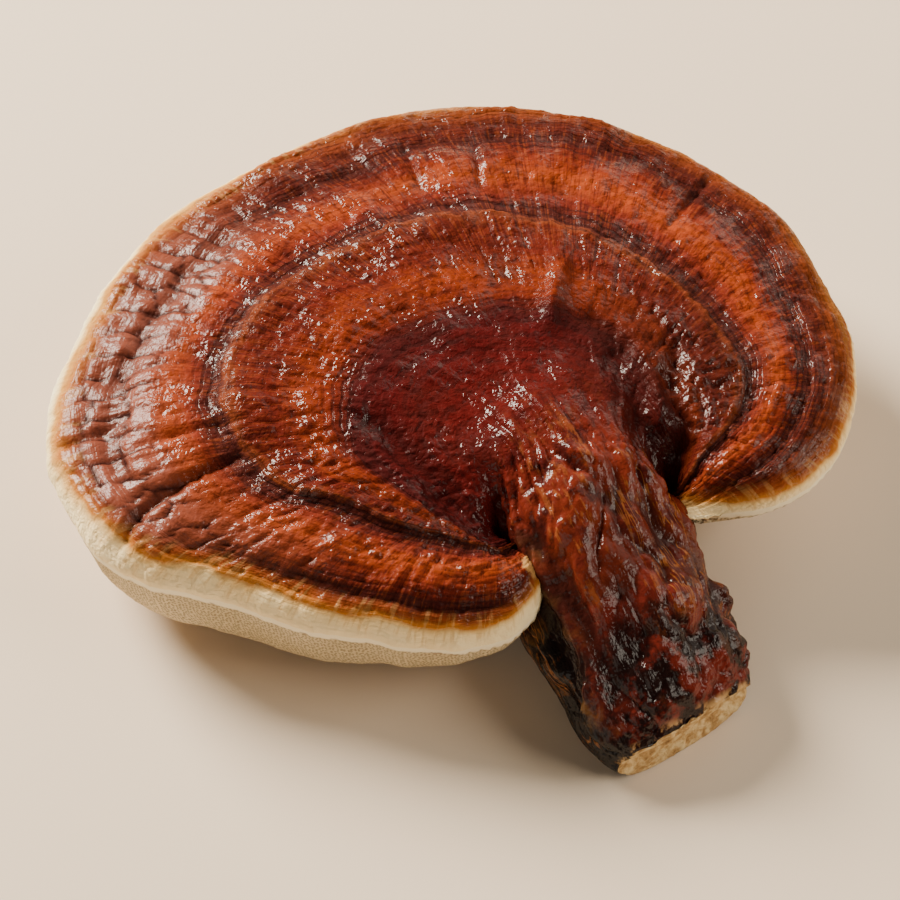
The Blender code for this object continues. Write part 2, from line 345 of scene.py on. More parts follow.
def cells(u: np.ndarray, v: np.ndarray, seed: int) -> tuple[np.ndarray, np.ndarray]:
    """Part two coordinates into uneven cells, one to a unit, each leaning its own way.

    Args:
        u: first coordinate, in cells.
        v: second coordinate, in cells.
        seed: which cells.

    Returns:
        How far places are from the nearest border, and their height on their leaning cell.
    """
    random = np.random.default_rng(seed)
    middles = random.uniform(0.15, 0.85, (256, 256, 2))
    leans = random.uniform(-1.0, 1.0, (256, 256, 2))
    i = np.floor(u).astype(int)
    j = np.floor(v).astype(int)
    nearest = np.full(np.shape(u), 9.0)
    second = np.full(np.shape(u), 9.0)
    height = np.zeros(np.shape(u))
    for right in (-1, 0, 1):
        for up in (-1, 0, 1):
            middle = middles[(i + right) % 256, (j + up) % 256]
            lean = leans[(i + right) % 256, (j + up) % 256]
            x = u - i - right - middle[..., 0]
            y = v - j - up - middle[..., 1]
            far = np.hypot(x, y)
            closer = far < nearest
            second = np.where(closer, nearest, np.minimum(second, far))
            height = np.where(closer, lean[..., 0] * x + lean[..., 1] * y, height)
            nearest = np.where(closer, far, nearest)
    return second - nearest, height


def ridged(value: np.ndarray, sharpness: float = 1.5) -> np.ndarray:
    """Turn noise into narrow creases between rounded swellings, from -1 to 0."""
    return -(np.clip(1.0 - np.abs(value), 0.0, 1.0) ** (2.0 * sharpness))


class Form:
    """The mushroom's plain form: the margin, the stem and the skins between them."""

    def __init__(self) -> None:
        """Measure the margin once."""
        points = np.array(MARGIN)
        steps = np.linalg.norm(np.diff(points[:, :2], axis=0), axis=1)
        self.knots = np.concatenate([[0.0], np.cumsum(steps)]) / steps.sum()
        self.edge = self.margin(np.linspace(0.0, 1.0, MARGIN_SAMPLES))[:, :2]

    def margin(self, s: np.ndarray) -> np.ndarray:
        """Give points of the margin: s runs from 0 at the left sinus to 1 at the right one."""
        return smooth(self.knots, np.array(MARGIN), s)

    def share_of_stem(self, s: np.ndarray) -> np.ndarray:
        """Give where round the stem's half ring the growth line to margin place s begins."""
        junction = STEM[-1]
        middle = np.array([0.5 * (junction[2] + junction[3]), junction[0] + 4.0])
        dense = np.linspace(0.0, 1.0, 400)
        reach = self.margin(dense)[:, :2] - middle
        angle = np.unwrap(np.arctan2(reach[:, 1], reach[:, 0]))
        share = (angle - angle[0]) / (angle[-1] - angle[0])
        return np.interp(s, dense, np.maximum.accumulate(share))

    @staticmethod
    def stem_half(row, share: np.ndarray, side: Side) -> np.ndarray:
        """Give half a ring of the stem, from its left flank to its right one.

        Args:
            row: a row of the stem's table.
            share: places round the half ring, from 0 to 1.
            side: the back or the underside.

        Returns:
            The points, in mm.
        """
        left_y, right_y, left, right, flank, back, under, lead = row
        over = side is Side.OVER
        turn = math.pi * (1.0 - np.asarray(share, float))
        square = 1.0 if over else UNDER_SQUARENESS
        across = np.sign(np.cos(turn)) * np.abs(np.cos(turn)) ** square
        lift = np.abs(np.sin(turn)) ** square
        x = 0.5 * (left + right) + 0.5 * (right - left) * across
        y = left_y + (right_y - left_y) * (x - left) / (right - left) + lead * lift
        z = flank + ((back if over else under) - flank) * lift
        return np.stack([x, y, np.maximum(z, 0.0)], axis=-1)

    def inward(self, plan: np.ndarray) -> np.ndarray:
        """Give how far in from the margin places are, seen from above, in mm."""
        found = np.empty(len(plan))
        for first in range(0, len(plan), MARGIN_SAMPLES):
            gaps = plan[first : first + MARGIN_SAMPLES, None, :] - self.edge[None, :, :]
            nearest = np.sqrt((gaps**2).sum(axis=-1).min(axis=1))
            found[first : first + MARGIN_SAMPLES] = nearest
        return found

    def cap_row(self, s: np.ndarray, t: float, side: Side) -> tuple[np.ndarray, np.ndarray]:
        """Give one row of points of the cap's upper or lower skin.

        Args:
            s: places along the margin.
            t: growth, from 0 at the stem to 1 at the margin.
            side: the crust or the pore side.

        Returns:
            The points, and how far in from the margin they are, in mm.
        """
        end = self.margin(s)
        start = self.stem_half(STEM[-1], self.share_of_stem(s), side)
        span = np.linalg.norm(end[:, :2] - start[:, :2], axis=-1)
        guide = start[:, :2] + 0.3 * span[:, None] * np.array([0.0, 1.0])
        plan = (1 - t) ** 2 * start[:, :2] + 2 * t * (1 - t) * guide + t**2 * end[:, :2]
        inward = self.inward(plan) if t < 1.0 else np.zeros(len(s))
        if side is Side.OVER:
            rise = smooth(TURN_AT, EDGE_RISE, s)
            shoulder = end[:, 2] + rise * rounded(inward / smooth(TURN_AT, EDGE_TURN, s))
            crown = np.maximum(CROWN_HEIGHT - end[:, 2] - rise, 0.0)
            share = np.clip(inward / CROWN_REACH, 0.0, 1.0)
            cap = shoulder + crown * (1.0 - (1.0 - share) ** 2)
            settle = ease(t * span / 16.0)
        else:
            from_rest = np.hypot(plan[:, 0] - REST_MIDDLE[0], plan[:, 1] - REST_MIDDLE[1])
            bed = REST_RISE * (from_rest / REST_REACH) ** 2 - REST_SINK
            turn = smooth(TURN_AT, UNDER_TURN, s)
            cap = end[:, 2] + (bed - end[:, 2]) * rounded(inward / turn, smooth(TURN_AT, UNDER_SQUARE, s))
            settle = ease(t * span / 20.0)
        height = start[:, 2] + (cap - start[:, 2]) * settle
        flank = start[:, 2] + (end[:, 2] - start[:, 2]) * t
        parted = rounded(np.minimum(s, 1.0 - s) / NOTCH_OPENING)
        height = flank + (height - flank) * parted if t < 1.0 else end[:, 2]
        return np.column_stack([plan, np.maximum(height, 0.0)]), inward


@dataclass
class Skin:
    """The closed skin as it is laid row by row, with what each point knows about its place.

    Each row of facts is: margin place, growth (below 0 on the stem), way in from the margin,
    side (1 over, -1 under), place round the stem.
    """

    points: list
    facts: list
    faces: list
    slots: list
    ways: list
    count: int = 0

    def add(self, points: np.ndarray, facts: np.ndarray, middle=None) -> np.ndarray:
        """Add points with their facts.

        Args:
            points: the points, in mm.
            facts: what is known of them.
            middle: the stem's middle inside their ring, if they lie on the stem.

        Returns:
            Their numbers.
        """
        self.points.append(points)
        self.facts.append(facts)
        ways = np.zeros((len(points), 3))
        if middle is not None:
            ways[:, 0] = points[:, 0] - middle[0]
            ways[:, 2] = points[:, 2] - middle[1]
            ways /= np.linalg.norm(ways, axis=1)[:, None]
        self.ways.append(ways)
        first = self.count
        self.count += len(points)
        return np.arange(first, self.count)

    def face(self, corners: list[int], side: Side, slot: Slot) -> None:
        """Add one face, facing out of its side."""
        self.faces.append(corners if side is Side.OVER else corners[::-1])
        self.slots.append(slot.value)

    def strip(self, inner, outer, side: Side, slot: Slot, left=(), right=()) -> None:
        """Join two rows of equal or doubled columns.

        Args:
            inner: the numbers of the row nearer the cut end.
            outer: the numbers of the row after it.
            side: which way the faces look.
            slot: their material.
            left: points of the other side between the rows' first ends.
            right: the same between their last ends.
        """
        doubled = len(outer) > len(inner)
        last = len(inner) - 2
        for j in range(last + 1):
            low = [int(inner[j]), int(inner[j + 1])]
            if j == last:
                low += [int(k) for k in right]
            if doubled:
                high = [int(outer[2 * j + 2]), int(outer[2 * j + 1]), int(outer[2 * j])]
            else:
                high = [int(outer[j + 1]), int(outer[j])]
            if j == 0:
                high += [int(k) for k in reversed(left)]
            self.face(low + high, side, slot)


def cap_rows() -> list[tuple[float, int, bool]]:
    """List the cap's rows.

    Returns:
        For each row its growth, its columns and whether the underside keeps it.
    """
    rows = []
    for growth in np.linspace(0.03, 0.26, 11):
        rows.append((float(growth), 150, True))
    for index, growth in enumerate(np.linspace(0.285, 0.52, 17)):
        rows.append((float(growth), 300, index % 3 == 1))
    for index, growth in enumerate(np.linspace(0.53, 0.955, 64)):
        rows.append((float(growth), 600, index % 6 == 5))
    for index, growth in enumerate(1.0 - 0.042 * (1.0 - np.linspace(0.05, 1.0, 18)) ** 1.3):
        rows.append((float(growth), 600, index % 2 == 1))
    return rows


class Body:
    """The mushroom's one body: its skin, relief and materials."""

    def __init__(self, form: Form) -> None:
        """Keep the form that the skin is laid over."""
        self.form = form

    def lay(self) -> Skin:
        """Lay the plain skin: the cut end, the stem and the cap's two sides."""
        skin = Skin([], [], [], [], [])
        even = np.linspace(0.0, 1.0, JUNCTION_COLUMNS + 1)
        share = self.form.share_of_stem(even)
        upper = None
        lower = None
        places = np.linspace(0.0, 1.0, STEM_RINGS)
        rows = smooth(np.linspace(0.0, 1.0, len(STEM)), np.array(STEM), places**0.95)
        for place, row in zip(places, rows):
            columns = even + (share - even) * place
            over_points = self.form.stem_half(row, columns, Side.OVER)
            under_points = self.form.stem_half(row, columns, Side.UNDER)[1:-1]
            middle = (0.5 * (row[2] + row[3]), row[4])
            over = skin.add(over_points, self.stem_facts(even, columns, place, 1.0), middle)
            inside = skin.add(under_points, self.stem_facts(even, columns, place, -1.0)[1:-1], middle)
            under = np.concatenate([over[:1], inside, over[-1:]])
            if upper is None:
                self.close_cut(skin, over, under, over_points, under_points)
            else:
                skin.strip(upper, over, Side.OVER, Slot.CRUST)
                skin.strip(lower, under, Side.UNDER, Slot.CRUST)
            upper = over
            lower = under
        left = []
        right = []
        for growth, count, kept in cap_rows():
            s = np.linspace(0.0, 1.0, count + 1)
            points, inward = self.form.cap_row(s, growth, Side.OVER)
            over = skin.add(points, self.cap_facts(s, growth, inward, 1.0))
            skin.strip(upper, over, Side.OVER, Slot.CRUST)
            upper = over
            if kept or growth >= 1.0:
                under = over
                if growth < 1.0:
                    points, inward = self.form.cap_row(s, growth, Side.UNDER)
                    inside = skin.add(points[1:-1], self.cap_facts(s, growth, inward, -1.0)[1:-1])
                    under = np.concatenate([over[:1], inside, over[-1:]])
                skin.strip(lower, under, Side.UNDER, Slot.PORES, left, right)
                lower = under
                left = []
                right = []
            else:
                left.append(over[0])
                right.append(over[-1])
        return skin

    @staticmethod
    def stem_facts(s: np.ndarray, columns: np.ndarray, place: float, side: float) -> np.ndarray:
        """Give the facts of one half ring of the stem."""
        full = np.ones(len(s))
        return np.column_stack([s, (place - 1.0) * full, 99.0 * full, side * full, columns])

    def cap_facts(self, s: np.ndarray, growth: float, inward: np.ndarray, side: float) -> np.ndarray:
        """Give the facts of one row of the cap."""
        full = np.ones(len(s))
        share = self.form.share_of_stem(s)
        return np.column_stack([s, growth * full, inward, side * full, share])

    @staticmethod
    def close_cut(skin: Skin, over, under, over_points, under_points) -> None:
        """Close the stem's cut end with inset rings and a middle point."""
        ring = np.concatenate([over, under[1:-1][::-1]])
        points = np.concatenate([over_points, under_points[::-1]])
        middle = points.mean(axis=0)
        outer = ring
        for share in (0.93, 0.8, 0.62, 0.4, 0.2):
            inner_points = middle + (points - middle) * share
            facts = np.tile([0.5, -1.2, 99.0, 0.0, share], (len(points), 1))
            inner = skin.add(inner_points, facts)
            for j in range(len(ring)):
                after = (j + 1) % len(ring)
                corners = [int(inner[j]), int(inner[after]), int(outer[after]), int(outer[j])]
                skin.face(corners, Side.OVER, Slot.FLESH)
            outer = inner
        centre = int(skin.add(middle[None, :], np.array([[0.5, -1.2, 99.0, 0.0, 0.0]]))[0])
        for j in range(len(ring)):
            after = (j + 1) % len(ring)
            skin.face([centre, int(outer[after]), int(outer[j])], Side.OVER, Slot.FLESH)

    @staticmethod
    def zones(s: np.ndarray, t: np.ndarray) -> np.ndarray:
        """Give the growth zone of places: 1 at the dark band, 2 at the step, 3 at the furrow, 4 at the margin."""
        wobble = 0.006 * noise(s * 45.0, t * 5.0, 11) + 0.0018 * noise(s * 140.0, t * 9.0, 12)
        t = np.where(t > 0.2, t + wobble * ease((1.0 - t) / 0.06), t)
        band = smooth(BAND_AT, BAND_GROWTH, s)
        step = smooth(STEP_AT, STEP_GROWTH, s)
        furrow = smooth(FURROW_AT, FURROW_GROWTH, s)
        zone = t / band
        zone = np.where(t > band, 1.0 + (t - band) / (step - band), zone)
        zone = np.where(t > step, 2.0 + (t - step) / (furrow - step), zone)
        return np.where(t > furrow, 3.0 + (t - furrow) / (1.0 - furrow), zone)

    def cap_relief(self, plan, s, t, zone) -> np.ndarray:
        """Give the crust's relief over the cap, in mm."""
        along = s * MARGIN_LENGTH
        x, y = plan.T
        left = ease((0.46 - s) / 0.1)
        outer = ease((zone - 2.85) / 0.15)
        height = np.interp(zone, PROFILE_ZONES, PROFILE_HEIGHTS)
        height = height * (1.0 + 0.25 * left) * (1.0 + 0.35 * noise(along / 30.0, zone * 2.0, 21))
        height += 1.1 * noise(x / 19.0, y / 19.0, 22) + 0.5 * noise(x / 8.0, y / 8.0, 23)
        lines = noise(along / 26.0, zone * 14.0, 24) + 0.7 * noise(along / 14.0, zone * 30.0, 25)
        height += (0.14 + 0.12 * outer) * lines * ease((zone - 0.3) / 0.5)
        wrinkles = ridged(noise(along / 7.0, zone * 1.3, 26), 2.5)
        height += 0.42 * wrinkles * ease((zone - 0.9) / 0.4) * ease((3.8 - zone) / 0.5)
        warp = 1.2 * noise(x / 5.0, y / 5.0, 28)
        crinkle = ridged(noise((x + warp) / 3.4, (y - warp) / 3.4, 29))
        crinkle += 0.6 * ridged(noise((x - warp) / 1.9, (y + warp) / 1.9, 30))
        height += (0.14 + 0.08 * left) * crinkle
        pleated = np.exp(-(((x - 41.0) / 11.0) ** 2) - ((y + 6.0) / 20.0) ** 2)
        pleats = ridged(noise((x + 0.25 * y + warp) / 4.2, (y - warp) / 11.0, 52), 1.4)
        height += pleated * (1.7 * pleats + 0.8)
        gap, lean = cells(along / PLATE_LENGTH, t * PLATE_ROWS, 51)
        cracks = ease(1.0 - gap / CRACK_WIDTH)
        height += self.plated(s, zone) * (0.4 * lean - 0.45 * cracks)
        return height * ease(t / 0.2)

    @staticmethod
    def plated(s: np.ndarray, zone: np.ndarray) -> np.ndarray:
        """Give where the outer crust on the left has cracked into plates, from 0 to 1."""
        return ease((0.47 - s) / 0.08) * ease((s - 0.1) / 0.14) * ease((zone - 2.45) / 0.3) * ease((3.85 - zone) / 0.2)

    @staticmethod
    def stem_relief(place: np.ndarray, share: np.ndarray, side: np.ndarray) -> np.ndarray:
        """Give the gnarled relief of the stem, in mm."""
        turn = 0.5 * share * side % 1.0
        down = place * 7.0
        warp = 0.5 * noise(turn * 12.0, down * 0.8, 35, 12)
        folds = ridged(noise(turn * 14.0 + warp, down * 0.45, 31, 14), 1.4)
        crumple = ridged(noise(turn * 20.0 - warp, down * 0.95 + warp, 32, 20), 1.2)
        fine = ridged(noise(turn * 50.0 + warp, down * 1.5 - warp, 36, 50), 1.2)
        lumps = noise(turn * 9.0, down * 0.9, 33, 9)
        height = 1.8 * folds + 0.9 * crumple + 0.42 * fine + 1.0 * lumps + 1.2
        for dent in DENTS:
            far = ((place - dent.down) / dent.size[0]) ** 2 + ((share - dent.round) / dent.size[1]) ** 2
            height -= dent.depth * np.exp(-far) * (side > 0.0)
        return height

    def relief(self, points: np.ndarray, facts: np.ndarray, zone: np.ndarray) -> np.ndarray:
        """Give the whole relief over the plain skin, in mm."""
        s, t, inward, side, share = facts.T
        over = side > 0.0
        plan = points[:, :2]
        cap = self.cap_relief(plan, s, t, zone) * ease(inward / 4.5)
        height = np.where(over & (t > 0.0), cap, 0.0)
        folds = sum(crease.height(plan) for crease in CREASES) * ease(inward / 4.5)
        height += np.where(over, folds * ease((t + 0.3) / 0.25), 0.0)
        hump = ((plan[:, 0] - 13.0) / 16.0) ** 2 + ((plan[:, 1] + 16.0) / 15.0) ** 2
        height += np.where(over, 1.8 * np.exp(-hump), 0.0)
        over_bend = np.exp(-(((t - 0.03) / 0.2) ** 2)) * ease(share / 0.1) * ease((1.0 - share) / 0.1)
        pleats = ridged(noise(share * 17.0 + noise(share * 6.0, t * 4.0, 54), t * 2.6, 53), 1.4)
        height += np.where(over, over_bend * (1.3 * pleats + 0.6), 0.0)
        stem = self.stem_relief(np.clip(1.0 + t, 0.0, 1.0), share, side)
        stem = 2.4 * np.tanh(stem / 2.4) * ease((0.35 - t) / 0.55) * np.where(over, 1.0, 0.3)
        height += np.where(side != 0.0, stem, 0.0)
        drop = np.hypot(inward, points[:, 2] - self.form.margin(s)[:, 2])
        recess = ease((drop - 2.0) / 1.2) * ease(t / 0.5)
        height -= np.where(side < 0.0, 0.7 * recess, 0.0)
        flesh = side == 0.0
        grain = 0.5 * noise(points[:, 0] / 1.2, points[:, 2] / 2.5, 41)
        return np.where(flesh, grain, height)

    def rim_shift(self, points: np.ndarray, facts: np.ndarray) -> np.ndarray:
        """Make the rim uneven: push its points out and in, seen from above, in mm."""
        s = facts[:, 0]
        ahead = self.form.margin(np.minimum(s + 0.004, 1.0))
        behind = self.form.margin(np.maximum(s - 0.004, 0.0))
        run = ahead - behind
        out = np.column_stack([-run[:, 1], run[:, 0], np.zeros(len(s))])
        out /= np.linalg.norm(out, axis=1)[:, None]
        along = s * MARGIN_LENGTH
        level = np.zeros(len(s))
        calmer = 1.0 - 0.6 * ease((s - 0.4) / 0.1)
        push = calmer * (1.0 * noise(along / 16.0, level, 44) + 0.45 * noise(along / 5.0, level, 45))
        push += 0.16 * noise(along / 1.8, points[:, 2] / 3.0, 46) + 0.1 * noise(along / 0.9, level, 49)
        near = ease((9.0 - facts[:, 2]) / 9.0) * (facts[:, 1] > 0.5) * ease(np.minimum(s, 1.0 - s) / 0.05)
        return out * (push * near)[:, None]

    @staticmethod
    def relax(mesh: bpy.types.Mesh, points: np.ndarray, weight: np.ndarray, rounds: int) -> np.ndarray:
        """Even out the heights of points with those of their neighbours.

        Args:
            mesh: the mesh that joins them.
            points: the points.
            weight: how far each may move, from 0 to 1.
            rounds: how often.

        Returns:
            The points with their new heights.
        """
        ends = np.empty(len(mesh.edges) * 2, dtype=np.int64)
        mesh.edges.foreach_get("vertices", ends)
        first, second = ends.reshape(-1, 2).T
        count = len(points)
        neighbours = np.bincount(first, minlength=count) + np.bincount(second, minlength=count)
        z = points[:, 2].copy()
        for _ in range(rounds):
            total = np.bincount(first, z[second], count) + np.bincount(second, z[first], count)
            z += weight * (total / neighbours - z)
        return np.column_stack([points[:, :2], z])

    def build(self) -> bpy.types.Object:
        """Build the body as one closed mesh."""
        skin = self.lay()
        points = np.concatenate(skin.points)
        facts = np.concatenate(skin.facts)
        zone = np.where(facts[:, 1] > 0.0, self.zones(facts[:, 0], np.maximum(facts[:, 1], 0.0)), 0.0)
        mesh = bpy.data.meshes.new(NODE + "_skin")
        mesh.from_pydata(points.tolist(), [], skin.faces)
        mesh.update()
        bend = np.exp(-((facts[:, 1] / 0.16) ** 2)) * (facts[:, 3] > 0.0) * ease(facts[:, 4] / 0.1)
        points = self.relax(mesh, points, bend * ease((1.0 - facts[:, 4]) / 0.1), 160)
        mesh.vertices.foreach_set("co", points.ravel())
        mesh.update()
        normals = np.empty(len(points) * 3)
        mesh.vertex_normals.foreach_get("vector", normals)
        lift = self.relief(points, facts, zone)
        outward = np.concatenate(skin.ways)
        on_stem = ease(-facts[:, 1] / 0.25)[:, None] * (facts[:, 3] != 0.0)[:, None]
        ways = normals.reshape(-1, 3) * (1.0 - on_stem) + outward * on_stem
        ways /= np.linalg.norm(ways, axis=1)[:, None]
        points = points + ways * lift[:, None] + self.rim_shift(points, facts)
        under = (facts[:, 3] <= 0.0) | (facts[:, 1] < 0.0)
        points[:, 2] = np.where(under, np.maximum(points[:, 2], 0.0), points[:, 2])
        self.write_facts(mesh, points, facts, zone, lift)
        points = (points - np.array([ORIGIN[0], ORIGIN[1], 0.0])) * MM
        mesh.vertices.foreach_set("co", points.ravel())
        mesh.polygons.foreach_set("material_index", np.array(skin.slots, dtype=np.int32))
        mesh.shade_smooth()
        mesh.update()
        body = bpy.data.objects.new(NODE + "_skin", mesh)
        bpy.context.scene.collection.objects.link(body)
        LOG.info("body: %d points, %d faces", len(points), len(skin.faces))
        return body

    def write_facts(self, mesh: bpy.types.Mesh, points, facts, zone, lift) -> None:
        """Store what the materials read at each point."""
        s, t, inward, side, share = facts.T
        cream = smooth(CREAM_AT, CREAM_WIDTH, s)
        edge = np.hypot(inward, points[:, 2] - self.form.margin(s)[:, 2])
        plated = self.plated(s, zone)
        cracks = ease(1.0 - cells(s * MARGIN_LENGTH / PLATE_LENGTH, t * PLATE_ROWS, 51)[0] / CRACK_WIDTH)
        strength = 0.7 + 0.5 * noise(s * MARGIN_LENGTH / 25.0, zone * 4.0, 48)
        lined = np.interp(zone, LINED_ZONES, LINED_SHARES) * (1.0 - 0.15 * plated) * strength
        stored = {
            "along": s * MARGIN_LENGTH,
            "zone": zone,
            "growth": t,
            "margin_way": inward / cream + (edge / 2.3 - inward / cream) * ease((s - 0.84) / 0.05),
            "edge_way": edge,
            "round": share,
            "lift": lift,
            "lined": lined * (side > 0.0),
            "line": zone * LINES_IN_ZONE + 0.7 * noise(s * MARGIN_LENGTH / 60.0, zone * 2.0, 47),
            "crack": cracks * plated,
            "plated": plated * (side > 0.0),
            "crust": (side > 0.0) * ease((inward - 1.0) / 3.0) * (1.0 - 0.45 * plated) * (1.0 - 0.6 * ease(-t / 0.15)),
        }
        for name, values in stored.items():
            layer = mesh.attributes.new(name, "FLOAT", "POINT")
            layer.data.foreach_set("value", values.astype(np.float32))


class GrowthRelief:
    """The fine relief of the crust, made by geometry nodes: growth lines and the creases of dried skin."""

    LINE_DEPTH = 0.22 * MM
    CREASE_HEIGHT = 2.1 * MM
    CREASE_SCALE = 430.0

    def tree(self) -> bpy.types.NodeTree:
        """Build the node tree, which pushes the crust's points along their normals."""
        tree = bpy.data.node_groups.new("growth_relief", "GeometryNodeTree")
        sockets = (("Geometry", "Geometry"), ("Line depth", "Float"), ("Crease height", "Float"), ("Crease scale", "Float"), ("Crust", "Material"))
        for name, kind in sockets:
            tree.interface.new_socket(name=name, in_out="INPUT", socket_type="NodeSocket" + kind)
        tree.interface.new_socket(name="Geometry", in_out="OUTPUT", socket_type="NodeSocketGeometry")
        given = tree.nodes.new("NodeGroupInput").outputs
        named = {}
        for name in ("line", "lined", "crust"):
            node = add(tree, "GeometryNodeInputNamedAttribute", {"data_type": "FLOAT"}, Name=name)
            named[name] = node.outputs["Attribute"]
        wave = math_node(tree, "SINE", math_node(tree, "MULTIPLY", named["line"], 2.0 * math.pi))
        groove = math_node(tree, "MULTIPLY", between(tree, wave, 0.0, 1.0), named["lined"])
        lines = math_node(tree, "MULTIPLY", groove, given["Line depth"])
        place = tree.nodes.new("GeometryNodeInputPosition").outputs[0]
        spread = add(tree, "ShaderNodeTexNoise", Vector=place, Scale=given["Crease scale"], Detail=1.0, Roughness=0.5)
        swell = math_node(tree, "ABSOLUTE", math_node(tree, "SUBTRACT", spread.outputs[0], 0.5))
        swell = math_node(tree, "MULTIPLY", swell, given["Crease height"])
        rise = math_node(tree, "MULTIPLY", math_node(tree, "SUBTRACT", swell, lines), named["crust"])
        normal = tree.nodes.new("GeometryNodeInputNormal").outputs[0]
        offset = add(tree, "ShaderNodeVectorMath", {"operation": "SCALE"}, i0=normal, Scale=rise).outputs[0]
        moved = add(tree, "GeometryNodeSetPosition", Geometry=given["Geometry"], Offset=offset).outputs[0]
        real = add(tree, "GeometryNodeRealizeInstances", Geometry=moved).outputs[0]
        index = tree.nodes.new("GeometryNodeInputMaterialIndex").outputs[0]
        over = add(tree, "FunctionNodeCompare", {"data_type": "INT", "operation": "EQUAL"}, i2=index, i3=Slot.CRUST.value)
        worn = add(tree, "GeometryNodeSetMaterial", Geometry=real, Selection=over.outputs[0], Material=given["Crust"])
        add(tree, "NodeGroupOutput", Geometry=worn.outputs[0])
        return tree

    def raise_on(self, body: bpy.types.Object, crust: bpy.types.Material) -> None:
        """Work the relief into a body's mesh.

        Args:
            body: the body, whose mesh is exchanged for the finished one.
            crust: the material of its crust.
        """
        tree = self.tree()
        modifier = body.modifiers.new("growth_relief", "NODES")
        modifier.node_group = tree
        values = {
            "Line depth": self.LINE_DEPTH,
            "Crease height": self.CREASE_HEIGHT,
            "Crease scale": self.CREASE_SCALE,
            "Crust": crust,
        }
        for item in tree.interface.items_tree:
            if item.in_out == "INPUT" and item.name in values:
                modifier[item.identifier] = values[item.name]
        graph = bpy.context.evaluated_depsgraph_get()
        mesh = bpy.data.meshes.new_from_object(body.evaluated_get(graph), preserve_all_data_layers=True, depsgraph=graph)
        body.modifiers.remove(modifier)
        body.data = mesh
        LOG.info("growth relief: %d faces", len(mesh.polygons))


def linear(colour: str) -> tuple[float, float, float, float]:
    """Turn an sRGB hex value into the linear colour that a shader takes."""
    parts = [int(colour[i : i + 2], 16) / 255.0 for i in (1, 3, 5)]
    return (*(c / 12.92 if c <= 0.04045 else ((c + 0.055) / 1.055) ** 2.4 for c in parts), 1.0)


def add(tree, kind: str, settings=None, **inputs):
    """Add a node to a tree.

    Args:
        tree: the node tree.
        kind: the node's type name.
        settings: its properties.
        inputs: values or sockets for its inputs, by name with _ for a space, or i and a number.

    Returns:
        The node.
    """
    node = tree.nodes.new(kind)
    for name, value in (settings or {}).items():
        setattr(node, name, value)
    for name, value in inputs.items():
        number = name[1:]
        socket = node.inputs[int(number)] if name[0] == "i" and number.isdigit() else node.inputs[name.replace("_", " ")]
        if isinstance(value, bpy.types.NodeSocket):
            tree.links.new(value, socket)
        else:
            socket.default_value = value
    return node


def ramp(tree, factor, stops):
    """Add a colour ramp whose stops are pairs of a place and an sRGB hex value."""
    node = add(tree, "ShaderNodeValToRGB", i0=factor)
    elements = node.color_ramp.elements
    while len(elements) > 1:
        elements.remove(elements[-1])
    elements[0].position = stops[0][0]
    elements[0].color = linear(stops[0][1])
    for place, colour in stops[1:]:
        element = elements.new(place)
        element.color = linear(colour)
    return node.outputs["Color"]


def math_node(tree, operation: str, first, second=0.0, clamp=False):
    """Add a math node and give its result."""
    return add(tree, "ShaderNodeMath", {"operation": operation, "use_clamp": clamp}, i0=first, i1=second).outputs[0]


def blend(tree, factor, first, second, kind="MIX"):
    """Mix two colours and give the result."""
    node = add(tree, "ShaderNodeMix", {"data_type": "RGBA", "blend_type": kind, "clamp_factor": True})
    for socket, value in ((node.inputs[0], factor), (node.inputs[6], first), (node.inputs[7], second)):
        if isinstance(value, bpy.types.NodeSocket):
            tree.links.new(value, socket)
        else:
            socket.default_value = value
    return node.outputs[2]


def between(tree, value, low: float, high: float):
    """Give 0 below low and 1 above high, smoothly."""
    node = add(tree, "ShaderNodeMapRange", {"interpolation_type": "SMOOTHSTEP"}, Value=value)
    node.inputs["From Min"].default_value = low
    node.inputs["From Max"].default_value = high
    return node.outputs["Result"]


def attribute(tree, name: str):
    """Give the value that the mesh stores under a name."""
    return add(tree, "ShaderNodeAttribute", {"attribute_name": name}).outputs["Fac"]


def combined(tree, x, y, z=0.0):
    """Give a vector of three values."""
    return add(tree, "ShaderNodeCombineXYZ", i0=x, i1=y, i2=z).outputs[0]


def cloud(tree, vector, scale: float, detail: float = 3.0, roughness: float = 0.55):
    """Give noise from 0 to 1 over a vector."""
    node = add(tree, "ShaderNodeTexNoise", Vector=vector, Scale=scale, Detail=detail, Roughness=roughness)
    return node.outputs["Fac"]


@dataclass(frozen=True)
class Finish:
    """How a surface takes the light.

    Args:
        roughness: of the surface itself.
        sheen: how strongly the surface itself mirrors, 0.5 being a plain dielectric.
        coat: weight of the natural varnish over it.
        coat_roughness: roughness of that varnish.
    """

    roughness: float
    sheen: float
    coat: float
    coat_roughness: float


LACQUER = Finish(0.55, 0.02, 0.5, 0.09)
PORE_SURFACE = Finish(0.9, 0.2, 0.0, 0.5)
CUT_FLESH = Finish(0.8, 0.2, 0.0, 0.5)


